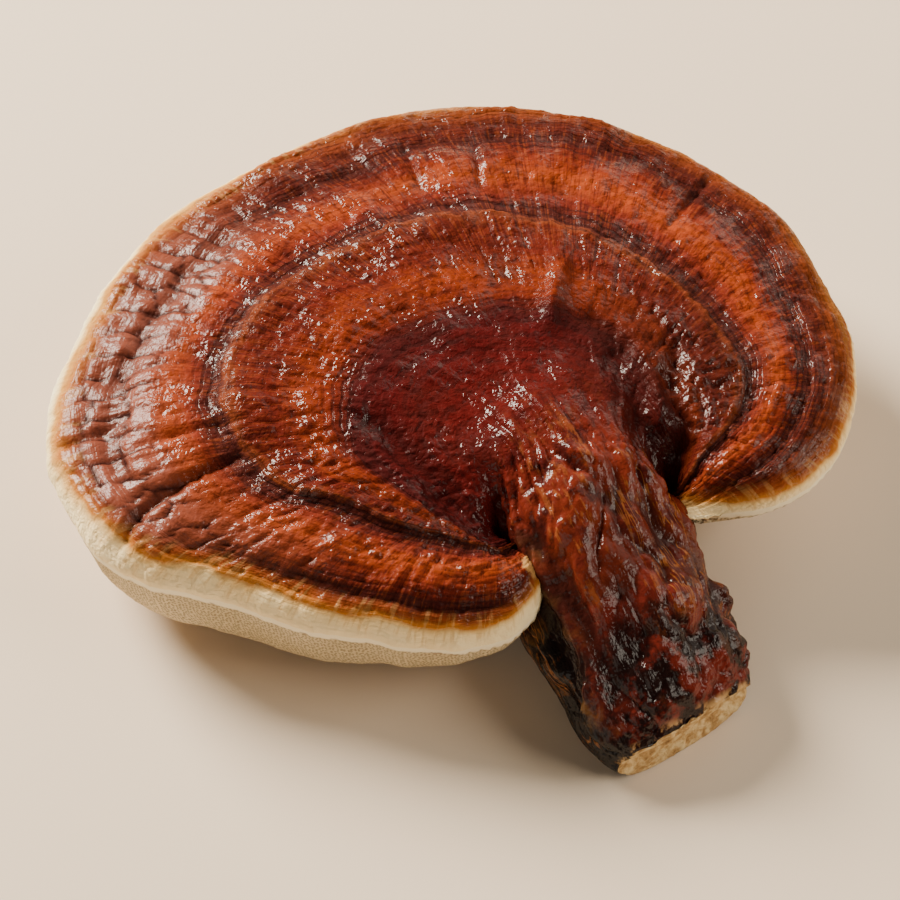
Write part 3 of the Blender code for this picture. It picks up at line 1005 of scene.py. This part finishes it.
class Materials:
    """The materials of the crust, the pore side and the cut flesh."""

    @staticmethod
    def shader(name: str, finish: Finish):
        """Make a material with its finish set on the shader itself."""
        material = bpy.data.materials.new(name)
        material.use_nodes = True
        tree = material.node_tree
        shader = tree.nodes["Principled BSDF"]
        shader.inputs["Roughness"].default_value = finish.roughness
        shader.inputs["Specular IOR Level"].default_value = finish.sheen
        shader.inputs["Coat Weight"].default_value = finish.coat
        shader.inputs["Coat Roughness"].default_value = finish.coat_roughness
        return material, tree, shader

    def crust(self) -> bpy.types.Material:
        """The crust of dried reishi: woody hyphae under their own resin lacquer."""
        material, tree, shader = self.shader("lacquered_crust", LACQUER)
        zone = attribute(tree, "zone")
        along = attribute(tree, "along")
        growth = attribute(tree, "growth")
        way = attribute(tree, "margin_way")
        rounds = attribute(tree, "round")
        place = add(tree, "ShaderNodeTexCoord").outputs["Object"]
        along_fine = math_node(tree, "MULTIPLY", along, 1.5)
        outside = math_node(tree, "MULTIPLY", between(tree, zone, 0.7, 1.9), between(tree, zone, 4.4, 2.8))
        fibres = cloud(tree, combined(tree, along_fine, math_node(tree, "MULTIPLY", zone, 3.0)), 1.0, 3.0, 0.65)
        fibres = math_node(tree, "ADD", 0.5, math_node(tree, "MULTIPLY", math_node(tree, "SUBTRACT", fibres, 0.5), outside))
        along_slow = math_node(tree, "MULTIPLY", along, 0.06)
        lines = cloud(tree, combined(tree, along_slow, math_node(tree, "MULTIPLY", zone, 9.0)), 1.0, 4.0, 0.65)
        patches = cloud(tree, place, 60.0, 4.0, 0.6)
        mottle = cloud(tree, place, 320.0, 4.0, 0.65)
        shift = math_node(tree, "MULTIPLY", math_node(tree, "SUBTRACT", lines, 0.5), 0.3)
        warped = math_node(tree, "ADD", zone, shift)
        rings = ramp(
            tree,
            math_node(tree, "DIVIDE", warped, 4.0),
            (
                (0.0, "#501210"),
                (0.15, "#551310"),
                (0.22, "#4c1010"),
                (0.25, "#411514"),
                (0.275, "#541a12"),
                (0.30, "#742812"),
                (0.36, "#7e2e12"),
                (0.41, "#5e1c12"),
                (0.47, "#602013"),
                (0.488, "#7c3a20"),
                (0.505, "#4c241f"),
                (0.54, "#4c1d18"),
                (0.57, "#74271a"),
                (0.63, "#9a3e1a"),
                (0.68, "#762814"),
                (0.72, "#561a10"),
                (0.745, "#441d19"),
                (0.775, "#4e1f18"),
                (0.80, "#5a2016"),
                (0.84, "#4e1e14"),
                (0.88, "#6a2c17"),
                (0.93, "#7c3a17"),
                (0.965, "#9c5a22"),
                (1.0, "#bd8438"),
            ),
        )
        crust = blend(tree, math_node(tree, "MULTIPLY", between(tree, fibres, 0.5, 0.66), 0.5), rings, linear("#8f4322"))
        crust = blend(tree, math_node(tree, "MULTIPLY", between(tree, fibres, 0.49, 0.35), 0.6), crust, linear("#34110f"))
        crust = blend(tree, math_node(tree, "MULTIPLY", between(tree, lines, 0.55, 0.75), 0.5), crust, linear("#34120f"))
        uneven = math_node(tree, "SUBTRACT", 0.6, math_node(tree, "MULTIPLY", between(tree, along, 220.0, 300.0), 0.35))
        crust = blend(tree, math_node(tree, "MULTIPLY", between(tree, mottle, 0.5, 0.66), uneven), crust, linear("#3c1310"))
        crust = blend(tree, math_node(tree, "MULTIPLY", between(tree, patches, 0.5, 0.72), uneven), crust, linear("#431612"))
        wave = math_node(tree, "SINE", math_node(tree, "MULTIPLY", attribute(tree, "line"), 2.0 * math.pi))
        threads = math_node(tree, "MULTIPLY", between(tree, wave, 0.1, 0.9), attribute(tree, "lined"))
        crust = blend(tree, math_node(tree, "MULTIPLY", threads, 0.65), crust, linear("#2c1413"))
        # Painted light: the ring band towards the front is coloured lighter, as if more light fell on it there.
        front = math_node(tree, "MULTIPLY", between(tree, along, 150.0, 110.0), between(tree, zone, 2.1, 2.5))
        front = math_node(tree, "MULTIPLY", front, between(tree, along, 55.0, 80.0))
        crust = blend(tree, math_node(tree, "MULTIPLY", front, 0.35), crust, linear("#a04828"))
        # Painted shade: the crust is coloured darker round the pleats deep in the right sinus.
        from_sinus = add(tree, "ShaderNodeVectorMath", {"operation": "DISTANCE"}, i0=place, i1=RIGHT_SINUS)
        painted_sinus_shade = math_node(tree, "MULTIPLY", between(tree, from_sinus.outputs["Value"], 0.026, 0.01), 0.6)
        crust = blend(tree, painted_sinus_shade, crust, linear("#35130f"))
        plated = attribute(tree, "plated")
        # The plates' lighter tone is partly their own colour and partly a painted sheen.
        crust = blend(tree, math_node(tree, "MULTIPLY", plated, 0.65), crust, linear("#864634"))
        crust = blend(tree, math_node(tree, "MULTIPLY", attribute(tree, "crack"), 0.95), crust, linear("#241010"))
        lift = attribute(tree, "lift")
        # Painted shade: the crust is coloured darker where its relief sinks, as the shade in its hollows.
        crust = blend(tree, math_node(tree, "MULTIPLY", between(tree, lift, 0.0, -1.4), 0.4), crust, linear("#2a0e0c"))
        edge_noise = math_node(tree, "MULTIPLY", math_node(tree, "SUBTRACT", fibres, 0.5), 0.4)
        edge_drift = math_node(tree, "MULTIPLY", math_node(tree, "SUBTRACT", cloud(tree, place, 90.0), 0.5), 1.6)
        margin_way = math_node(tree, "ADD", math_node(tree, "ADD", way, edge_noise), edge_drift)
        margin = ramp(
            tree,
            math_node(tree, "DIVIDE", margin_way, 5.0),
            (
                (0.0, "#fae4b4"),
                (0.13, "#fadca2"),
                (0.18, "#e6bd7c"),
                (0.235, "#b5702c"),
                (0.34, "#8a431a"),
                (0.55, "#642a18"),
            ),
        )
        tan_side = math_node(tree, "MULTIPLY", between(tree, along, 95.0, 125.0), between(tree, along, 235.0, 205.0))
        tan_edge = ramp(
            tree,
            math_node(tree, "DIVIDE", margin_way, 5.0),
            ((0.0, "#fff0c4"), (0.08, "#f6d898"), (0.14, "#cf9448"), (0.25, "#ae682e"), (0.36, "#884522"), (0.5, "#642a18")),
        )
        margin = blend(tree, tan_side, margin, tan_edge)
        streaks = cloud(tree, combined(tree, math_node(tree, "MULTIPLY", along, 0.8), math_node(tree, "MULTIPLY", way, 0.3)), 1.0)
        streaks = math_node(tree, "MULTIPLY", between(tree, streaks, 0.5, 0.62), between(tree, margin_way, 0.0, 0.5))
        margin = blend(tree, math_node(tree, "MULTIPLY", streaks, 0.4), margin, linear("#c99a5c"))
        coloured = blend(tree, between(tree, margin_way, 1.5, 2.9), margin, crust)
        off_tip = add(tree, "ShaderNodeVectorMath", {"operation": "DISTANCE"}, i0=place, i1=LOBE_TIP).outputs["Value"]
        off_tip = math_node(tree, "ADD", off_tip, math_node(tree, "MULTIPLY", math_node(tree, "SUBTRACT", mottle, 0.5), 0.006))
        coloured = blend(tree, between(tree, off_tip, 0.0032, 0.0022), coloured, linear("#b98a52"))
        turned = add(tree, "ShaderNodeMapping", {"vector_type": "TEXTURE"}, Vector=place)
        turned.inputs["Rotation"].default_value = (0.5, 0.0, 0.12)
        turned.inputs["Scale"].default_value = (1.0, 5.0, 1.6)
        threads_long = cloud(tree, turned.outputs["Vector"], 700.0, 4.0, 0.65)
        stem = self.stem_colour(tree, growth, rounds, lift, place, threads_long)
        drift = math_node(tree, "MULTIPLY", math_node(tree, "SUBTRACT", patches, 0.5), 0.5)
        colour = blend(tree, between(tree, math_node(tree, "ADD", growth, drift), -0.3, 0.3), stem, coloured)
        tree.links.new(colour, shader.inputs["Base Color"])
        bare = between(tree, margin_way, 1.5, 0.9)
        broken = between(tree, cloud(tree, place, 130.0, 3.0, 0.6), 0.46, 0.6)
        broken = math_node(tree, "MAXIMUM", broken, math_node(tree, "MULTIPLY", plated, 0.72))
        broken = math_node(tree, "MAXIMUM", broken, between(tree, growth, 0.1, -0.1))
        shine = add(tree, "ShaderNodeMapRange", Value=broken)
        shine.inputs["To Min"].default_value = 0.03
        shine.inputs["To Max"].default_value = LACQUER.coat
        cracked = math_node(tree, "SUBTRACT", 1.0, attribute(tree, "crack"))
        coat = math_node(tree, "MULTIPLY", shine.outputs["Result"], math_node(tree, "SUBTRACT", cracked, bare, True))
        tree.links.new(coat, shader.inputs["Coat Weight"])
        gloss = add(tree, "ShaderNodeMapRange", Value=plated)
        gloss.inputs["To Min"].default_value = LACQUER.coat_roughness
        gloss.inputs["To Max"].default_value = 0.3
        tree.links.new(gloss.outputs["Result"], shader.inputs["Coat Roughness"])
        wide = self.creased(tree, place, 360.0)
        narrow = self.creased(tree, place, 900.0)
        height = math_node(tree, "ADD", wide, math_node(tree, "MULTIPLY", narrow, 0.5))
        height = math_node(tree, "ADD", height, math_node(tree, "MULTIPLY", fibres, 0.06))
        height = math_node(tree, "SUBTRACT", height, math_node(tree, "MULTIPLY", threads, 0.14))
        on_stem = between(tree, growth, 0.1, -0.15)
        calm = math_node(tree, "SUBTRACT", 1.0, math_node(tree, "MULTIPLY", math_node(tree, "MAXIMUM", plated, on_stem), 0.45))
        height = math_node(tree, "MULTIPLY", height, calm)
        height = math_node(tree, "ADD", height, math_node(tree, "MULTIPLY", math_node(tree, "MULTIPLY", threads_long, on_stem), 0.3))
        bump = add(tree, "ShaderNodeBump", Height=height, Strength=0.7, Distance=0.0011)
        tree.links.new(bump.outputs["Normal"], shader.inputs["Normal"])
        tree.links.new(bump.outputs["Normal"], shader.inputs["Coat Normal"])
        return material

    @staticmethod
    def creased(tree, place, scale: float):
        """Give swellings between sharp creases, as dried skin has."""
        spread = math_node(tree, "SUBTRACT", cloud(tree, place, scale, 1.0, 0.45), 0.5)
        return math_node(tree, "ABSOLUTE", spread)

    @staticmethod
    def stem_colour(tree, growth, rounds, lift, place, threads):
        """Colour the stem: red-brown and fibrous at the cap, near black at the cut end and the left flank."""
        grain = cloud(tree, place, 160.0, 5.0, 0.62)
        upper = blend(tree, between(tree, grain, 0.45, 0.62), linear("#742a18"), linear("#3a130e"))
        lower = blend(tree, between(tree, grain, 0.45, 0.6), linear("#1e0d0b"), linear("#6c241a"))
        base = blend(tree, between(tree, growth, -0.75, -0.15), lower, upper)
        charcoal = blend(tree, between(tree, grain, 0.54, 0.66), linear("#1b1513"), linear("#5a3f24"))
        side = between(tree, rounds, 0.3, 0.12)
        base = blend(tree, math_node(tree, "MULTIPLY", side, between(tree, growth, 0.0, -0.4)), base, charcoal)
        worn = math_node(tree, "MULTIPLY", between(tree, lift, 0.2, 1.6), between(tree, threads, 0.5, 0.62))
        base = blend(tree, math_node(tree, "MULTIPLY", worn, between(tree, growth, -1.0, -0.3)), base, linear("#94502a"))
        # Painted shade: the stem is coloured near black in the hollows of its relief.
        base = blend(tree, math_node(tree, "MULTIPLY", between(tree, lift, 0.0, -1.6), 0.7), base, linear("#1a0c0a"))
        strands = combined(tree, math_node(tree, "MULTIPLY", rounds, 42.0), math_node(tree, "MULTIPLY", growth, 4.0))
        strands = math_node(tree, "ABSOLUTE", math_node(tree, "SUBTRACT", cloud(tree, strands, 1.0, 2.0, 0.5), 0.5))
        strands = math_node(tree, "MULTIPLY", between(tree, strands, 0.03, 0.008), between(tree, grain, 0.42, 0.56))
        right_side = math_node(tree, "MULTIPLY", between(tree, rounds, 0.5, 0.62), between(tree, growth, -0.75, -0.55))
        flank = between(tree, rounds, 0.12, 0.05)
        strands = math_node(tree, "MULTIPLY", strands, math_node(tree, "MAXIMUM", right_side, flank))
        strands = math_node(tree, "MULTIPLY", strands, between(tree, growth, 0.12, -0.1))
        base = blend(tree, math_node(tree, "MULTIPLY", strands, 0.75), base, linear("#a0602c"))
        torn = math_node(tree, "MULTIPLY", between(tree, growth, -0.95, -1.0), between(tree, grain, 0.47, 0.55))
        return blend(tree, torn, base, linear("#c9a068"))

    def pores(self) -> bpy.types.Material:
        """The pore surface: dry tan tubes whose mouths real reishi packs 4 or 5 to the millimetre.

        They are drawn three times as coarse, so that they show.
        """
        material, tree, shader = self.shader("pore_surface", PORE_SURFACE)
        place = add(tree, "ShaderNodeTexCoord").outputs["Object"]
        way = attribute(tree, "edge_way")
        turned = math_node(tree, "MULTIPLY", attribute(tree, "along"), 0.001)
        flat_place = combined(tree, turned, math_node(tree, "MULTIPLY", way, 0.001))
        inside = between(tree, way, 26.0, 30.0)
        spot = blend(tree, inside, flat_place, place)
        tubes = add(tree, "ShaderNodeTexVoronoi", {"voronoi_dimensions": "2D"}, Vector=spot, Scale=1500.0, Randomness=0.55)
        mouths = between(tree, tubes.outputs["Distance"], 0.42, 0.22)
        patches = cloud(tree, place, 60.0)
        base = blend(tree, between(tree, patches, 0.3, 0.7), linear("#d6c096"), linear("#e4cfa8"))
        # Painted shade: the pore mouths are coloured darker, as the shade inside the holes.
        colour = blend(tree, math_node(tree, "MULTIPLY", mouths, 0.6), base, linear("#7a664c"))
        rim = math_node(tree, "ADD", way, math_node(tree, "MULTIPLY", cloud(tree, place, 200.0), 1.4))
        streak = between(tree, cloud(tree, place, 260.0), 0.52, 0.62)
        border = math_node(tree, "MULTIPLY", between(tree, rim, 1.7, 2.2), between(tree, rim, 2.9, 2.4))
        colour = blend(tree, between(tree, rim, 2.2, 2.7), linear("#fbeccb"), colour)
        colour = blend(tree, math_node(tree, "MULTIPLY", math_node(tree, "MULTIPLY", border, streak), 0.7), colour, linear("#7d5530"))
        tree.links.new(colour, shader.inputs["Base Color"])
        flat = math_node(tree, "MULTIPLY", mouths, between(tree, rim, 2.2, 2.7))
        bump = add(tree, "ShaderNodeBump", {"invert": True}, Height=flat, Strength=0.7, Distance=0.0004)
        tree.links.new(bump.outputs["Normal"], shader.inputs["Normal"])
        return material

    def flesh(self) -> bpy.types.Material:
        """The cut flesh: pale tan corky fibres."""
        material, tree, shader = self.shader("cut_flesh", CUT_FLESH)
        place = add(tree, "ShaderNodeTexCoord").outputs["Object"]
        grain = cloud(tree, place, 500.0, 4.0, 0.65)
        colour = ramp(tree, grain, ((0.3, "#7c5a34"), (0.45, "#b8905a"), (0.6, "#dcc08c")))
        tree.links.new(colour, shader.inputs["Base Color"])
        bump = add(tree, "ShaderNodeBump", Height=grain, Strength=0.6, Distance=0.0005)
        tree.links.new(bump.outputs["Normal"], shader.inputs["Normal"])
        return material


class Studio:
    """The floor, lamps and camera."""

    AZIMUTH = -20.0
    ELEVATION = 50.0
    DISTANCE = 0.418
    TARGET = (-ORIGIN[0] * MM, -ORIGIN[1] * MM, 0.018)
    LENS = 85.0
    LIGHT_COLOUR = "#fff4e2"

    def floor(self) -> bpy.types.Object:
        """Lay the plain pale floor."""
        mesh = bpy.data.meshes.new("floor")
        half = 3.0
        mesh.from_pydata([(-half, -half, 0.0), (half, -half, 0.0), (half, half, 0.0), (-half, half, 0.0)], [], [(0, 1, 2, 3)])
        material = bpy.data.materials.new("plain_floor")
        material.use_nodes = True
        shader = material.node_tree.nodes["Principled BSDF"]
        shader.inputs["Base Color"].default_value = linear("#f0dcc4")
        shader.inputs["Roughness"].default_value = 0.9
        mesh.materials.append(material)
        floor = bpy.data.objects.new("floor", mesh)
        bpy.context.scene.collection.objects.link(floor)
        return floor

    def lamp(self, name: str, turn: float, rise: float, power: float, size: float) -> None:
        """Hang a soft round lamp that looks at the mushroom.

        Args:
            name: its name.
            turn: degrees to the right of straight behind the mushroom, as the camera sees it.
            rise: degrees above the floor.
            power: its power in watts.
            size: how wide it is, in m.
        """
        light = bpy.data.lights.new(name, "AREA")
        light.shape = "DISK"
        light.size = size
        light.energy = power
        light.color = linear(self.LIGHT_COLOUR)[:3]
        heading = math.radians(turn - self.AZIMUTH)
        level = math.cos(math.radians(rise))
        way = Vector((math.sin(heading) * level, math.cos(heading) * level, math.sin(math.radians(rise))))
        lamp = bpy.data.objects.new(name, light)
        lamp.location = 1.5 * way
        lamp.rotation_euler = (-way).to_track_quat("-Z", "Y").to_euler()
        bpy.context.scene.collection.objects.link(lamp)

    def light(self) -> None:
        """Light the mushroom from behind on the left, with weaker lamps behind it and on the right."""
        self.lamp("window", -48.0, 31.0, 82.0, 0.75)
        self.lamp("back", 15.0, 12.0, 3.0, 1.2)
        self.lamp("back_right", 50.0, 28.0, 12.0, 2.2)
        self.lamp("right", 100.0, 34.0, 12.0, 0.9)
        self.lamp("front", -165.0, 25.0, 4.0, 1.2)
        world = bpy.data.worlds.new("soft_room")
        world.use_nodes = True
        world.node_tree.nodes["Background"].inputs["Color"].default_value = linear("#fbf6f0")
        world.node_tree.nodes["Background"].inputs["Strength"].default_value = 0.03
        bpy.context.scene.world = world

    def camera(self) -> bpy.types.Object:
        """Stand the camera where the photo was taken from."""
        turn = math.radians(self.AZIMUTH)
        rise = math.radians(self.ELEVATION)
        back = Vector((math.sin(turn) * math.cos(rise), -math.cos(turn) * math.cos(rise), math.sin(rise)))
        data = bpy.data.cameras.new("camera")
        data.lens = self.LENS
        data.sensor_width = 36.0
        camera = bpy.data.objects.new("camera", data)
        camera.location = Vector(self.TARGET) + back * self.DISTANCE
        camera.rotation_euler = (-back).to_track_quat("-Z", "Y").to_euler()
        bpy.context.scene.collection.objects.link(camera)
        bpy.context.scene.camera = camera
        return camera


def main() -> None:
    """Build the mushroom and its studio."""
    logging.basicConfig(level=logging.INFO, format="%(name)s: %(message)s")
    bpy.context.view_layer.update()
    form = Form()
    body = Body(form).build()
    materials = Materials()
    for material in (materials.crust(), materials.pores(), materials.flesh()):
        body.data.materials.append(material)
    GrowthRelief().raise_on(body, body.data.materials[Slot.CRUST.value])
    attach(body, "root")
    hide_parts(NODE)
    studio = Studio()
    studio.floor()
    studio.light()
    studio.camera()


if __name__ == "__main__":
    main()
